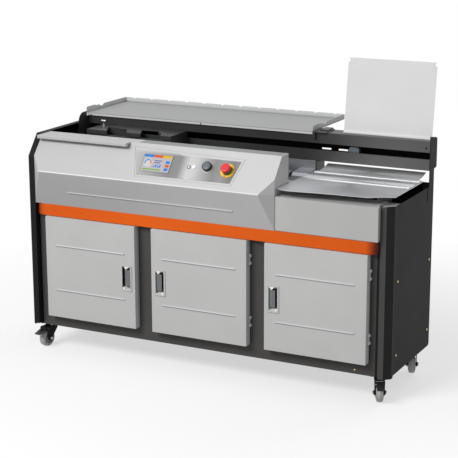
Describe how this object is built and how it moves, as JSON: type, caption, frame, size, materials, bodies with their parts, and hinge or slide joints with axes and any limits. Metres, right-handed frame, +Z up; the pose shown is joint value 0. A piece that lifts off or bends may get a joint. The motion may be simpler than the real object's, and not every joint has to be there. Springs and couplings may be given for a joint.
{
  "type": "perfect binding machine",
  "caption": "Floor-standing perfect binding machine: cabinet on casters with three doors, sloped control console, sliding clamp carriage, cover table, long book tray and cover rack.",
  "frame": {"origin": "on the floor, under the middle of the whole machine", "axes": "+X along the machine to its right end as the operator sees it, +Y from the front to the rear, +Z up"},
  "size_m": [1.604, 0.808, 1.2561],
  "materials": {
    "dark": "matte",
    "grey": "satin",
    "orange": "satin",
    "light": "satin",
    "steel": "brushed",
    "polished": "polished",
    "chrome": "polished",
    "tyre": "matte",
    "black": "matte",
    "red": "gloss",
    "yellow": "gloss",
    "white": "gloss",
    "screen": "gloss",
    "decal": "brushed"
  },
  "bodies": {
    "base": {"cabinet_frame": "dark", "left_side_panel": "dark", "right_side_panel": "dark", "rear_cover": "dark", "front_band": "orange", "console_cover": "grey", "right_front_panel": "grey", "machine_deck": "dark", "door_hinges": "steel", "caster_plates": "dark", "tray_brackets": "dark", "upper_beam": "dark", "lower_beam": "dark", "rail_backplate": "dark", "beam_support": "dark", "carriage_rails": "steel", "travel_stop": "dark", "book_tray": "grey", "cover_rack": "light", "control_plate": "decal", "touch_screen": "screen", "estop_collar": "yellow", "table_plate": "polished", "rear_ramp": "polished", "glue_tank": "steel", "nip_unit_cover": "grey", "cutter_motor": "grey", "electrical_box": "grey", "power_inlet": "black", "panel_screws": "steel", "nip_plate_rear": "polished"},
    "door_left_body": {"door_left": "grey", "handle_bezel_left": "chrome"},
    "paddle_left_body": {"handle_paddle_left": "chrome"},
    "door_middle_body": {"door_middle": "grey", "handle_bezel_middle": "chrome"},
    "paddle_middle_body": {"handle_paddle_middle": "chrome"},
    "door_right_body": {"door_right": "grey", "handle_bezel_right": "chrome"},
    "paddle_right_body": {"handle_paddle_right": "chrome"},
    "caster_front_left": {"fork_front_left": "black"},
    "wheel_front_left_body": {"wheel_front_left": "tyre"},
    "brake_left_body": {"brake_pedal_left": "black"},
    "caster_front_right": {"fork_front_right": "black"},
    "wheel_front_right_body": {"wheel_front_right": "tyre"},
    "brake_right_body": {"brake_pedal_right": "black"},
    "caster_rear_left": {"fork_rear_left": "black"},
    "wheel_rear_left_body": {"wheel_rear_left": "tyre"},
    "caster_rear_right": {"fork_rear_right": "black"},
    "wheel_rear_right_body": {"wheel_rear_right": "tyre"},
    "carriage": {"clamp_carriage": "dark"},
    "jaw_front_body": {"front_jaw": "steel"},
    "jaw_screw_body": {"jaw_t_screw": "chrome"},
    "cutter_body": {"cutter_disc": "steel"},
    "roller_front_body": {"glue_roller_front": "steel"},
    "roller_rear_body": {"glue_roller_rear": "steel"},
    "nip_front_body": {"nip_plate_front": "polished"},
    "estop_body": {"estop_head": "red"},
    "start_body": {"start_button": "black"},
    "power_body": {"power_button": "white"}
  },
  "joints": [
    {"name": "door_left_swing", "type": "hinge", "parent": "base", "child": "door_left_body", "pos_m": [-0.7185, -0.3375, 0.375], "axis": [0, 0, -1], "range_deg": [0, 95]},
    {"name": "paddle_left_pull", "type": "hinge", "parent": "door_left_body", "child": "paddle_left_body", "pos_m": [-0.31833, -0.3643, 0.372], "axis": [0, 0, 1], "range_deg": [0, 35], "stiffness_Nm_per_rad": 0.05, "springref_deg": -11.46},
    {"name": "door_middle_swing", "type": "hinge", "parent": "base", "child": "door_middle_body", "pos_m": [0.20983, -0.3375, 0.375], "axis": [0, 0, 1], "range_deg": [0, 95]},
    {"name": "paddle_middle_pull", "type": "hinge", "parent": "door_middle_body", "child": "paddle_middle_body", "pos_m": [-0.19033, -0.3643, 0.372], "axis": [0, 0, -1], "range_deg": [0, 35], "stiffness_Nm_per_rad": 0.05, "springref_deg": -11.46},
    {"name": "door_right_swing", "type": "hinge", "parent": "base", "child": "door_right_body", "pos_m": [0.715, -0.3375, 0.375], "axis": [0, 0, 1], "range_deg": [0, 95]},
    {"name": "paddle_right_pull", "type": "hinge", "parent": "door_right_body", "child": "paddle_right_body", "pos_m": [0.31483, -0.3643, 0.372], "axis": [0, 0, -1], "range_deg": [0, 35], "stiffness_Nm_per_rad": 0.05, "springref_deg": -11.46},
    {"name": "caster_front_left_swivel", "type": "hinge", "parent": "base", "child": "caster_front_left", "pos_m": [-0.768, -0.285, 0.09], "axis": [0, 0, 1], "continuous": true},
    {"name": "wheel_front_left_spin", "type": "hinge", "parent": "caster_front_left", "child": "wheel_front_left_body", "pos_m": [-0.77082, -0.31185, 0.0375], "axis": [0.9945, -0.1045, 0], "continuous": true},
    {"name": "brake_left_press", "type": "hinge", "parent": "caster_front_left", "child": "brake_left_body", "pos_m": [-0.77197, -0.32279, 0.081], "axis": [0.9945, -0.1045, 0], "range_deg": [0, 10]},
    {"name": "caster_front_right_swivel", "type": "hinge", "parent": "base", "child": "caster_front_right", "pos_m": [0.745, -0.285, 0.09], "axis": [0, 0, 1], "continuous": true},
    {"name": "wheel_front_right_spin", "type": "hinge", "parent": "caster_front_right", "child": "wheel_front_right_body", "pos_m": [0.75598, -0.30967, 0.0375], "axis": [0.9135, 0.4067, 0], "continuous": true},
    {"name": "brake_right_press", "type": "hinge", "parent": "caster_front_right", "child": "brake_right_body", "pos_m": [0.76046, -0.31972, 0.081], "axis": [0.9135, 0.4067, 0], "range_deg": [0, 10]},
    {"name": "caster_rear_left_swivel", "type": "hinge", "parent": "base", "child": "caster_rear_left", "pos_m": [-0.768, 0.083, 0.09], "axis": [0, 0, 1], "continuous": true},
    {"name": "wheel_rear_left_spin", "type": "hinge", "parent": "caster_rear_left", "child": "wheel_rear_left_body", "pos_m": [-0.76239, 0.05659, 0.0375], "axis": [0.9781, 0.2079, 0], "continuous": true},
    {"name": "caster_rear_right_swivel", "type": "hinge", "parent": "base", "child": "caster_rear_right", "pos_m": [0.745, 0.083, 0.09], "axis": [0, 0, 1], "continuous": true},
    {"name": "wheel_rear_right_spin", "type": "hinge", "parent": "caster_rear_right", "child": "wheel_rear_right_body", "pos_m": [0.75423, 0.05763, 0.0375], "axis": [0.9397, 0.342, 0], "continuous": true},
    {"name": "carriage_travel", "type": "slide", "parent": "base", "child": "carriage", "axis": [1, 0, 0], "range_m": [0, 0.995]},
    {"name": "jaw_clamp", "type": "slide", "parent": "carriage", "child": "jaw_front_body", "axis": [0, 1, 0], "range_m": [0, 0.044]},
    {"name": "jaw_screw_turn", "type": "hinge", "parent": "carriage", "child": "jaw_screw_body", "pos_m": [-0.665, 0.021, 0.915], "axis": [0, 0, 1], "continuous": true},
    {"name": "cutter_spin", "type": "hinge", "parent": "base", "child": "cutter_body", "pos_m": [-0.12, -0.031, 0.796], "axis": [0, 0, 1], "continuous": true},
    {"name": "roller_front_spin", "type": "hinge", "parent": "base", "child": "roller_front_body", "pos_m": [0.082, -0.031, 0.768], "axis": [0, 1, 0], "continuous": true},
    {"name": "roller_rear_spin", "type": "hinge", "parent": "base", "child": "roller_rear_body", "pos_m": [0.17, -0.031, 0.768], "axis": [0, 1, 0], "continuous": true},
    {"name": "nip_front_slide", "type": "slide", "parent": "base", "child": "nip_front_body", "axis": [0, 1, 0], "range_m": [0, 0.054]},
    {"name": "estop_press", "type": "slide", "parent": "base", "child": "estop_body", "axis": [0, 0.7687, -0.6396], "range_m": [0, 0.005]},
    {"name": "start_press", "type": "slide", "parent": "base", "child": "start_body", "axis": [0, 0.7687, -0.6396], "range_m": [0, 0.004], "stiffness_N_per_m": 500, "springref_m": -0.002},
    {"name": "power_press", "type": "slide", "parent": "base", "child": "power_body", "axis": [0, 0.7687, -0.6396], "range_m": [0, 0.002], "stiffness_N_per_m": 500, "springref_m": -0.002}
  ],
  "couplings": [
    {"joint": "roller_rear_spin", "follows": "roller_front_spin", "ratio": 1}
  ]
}
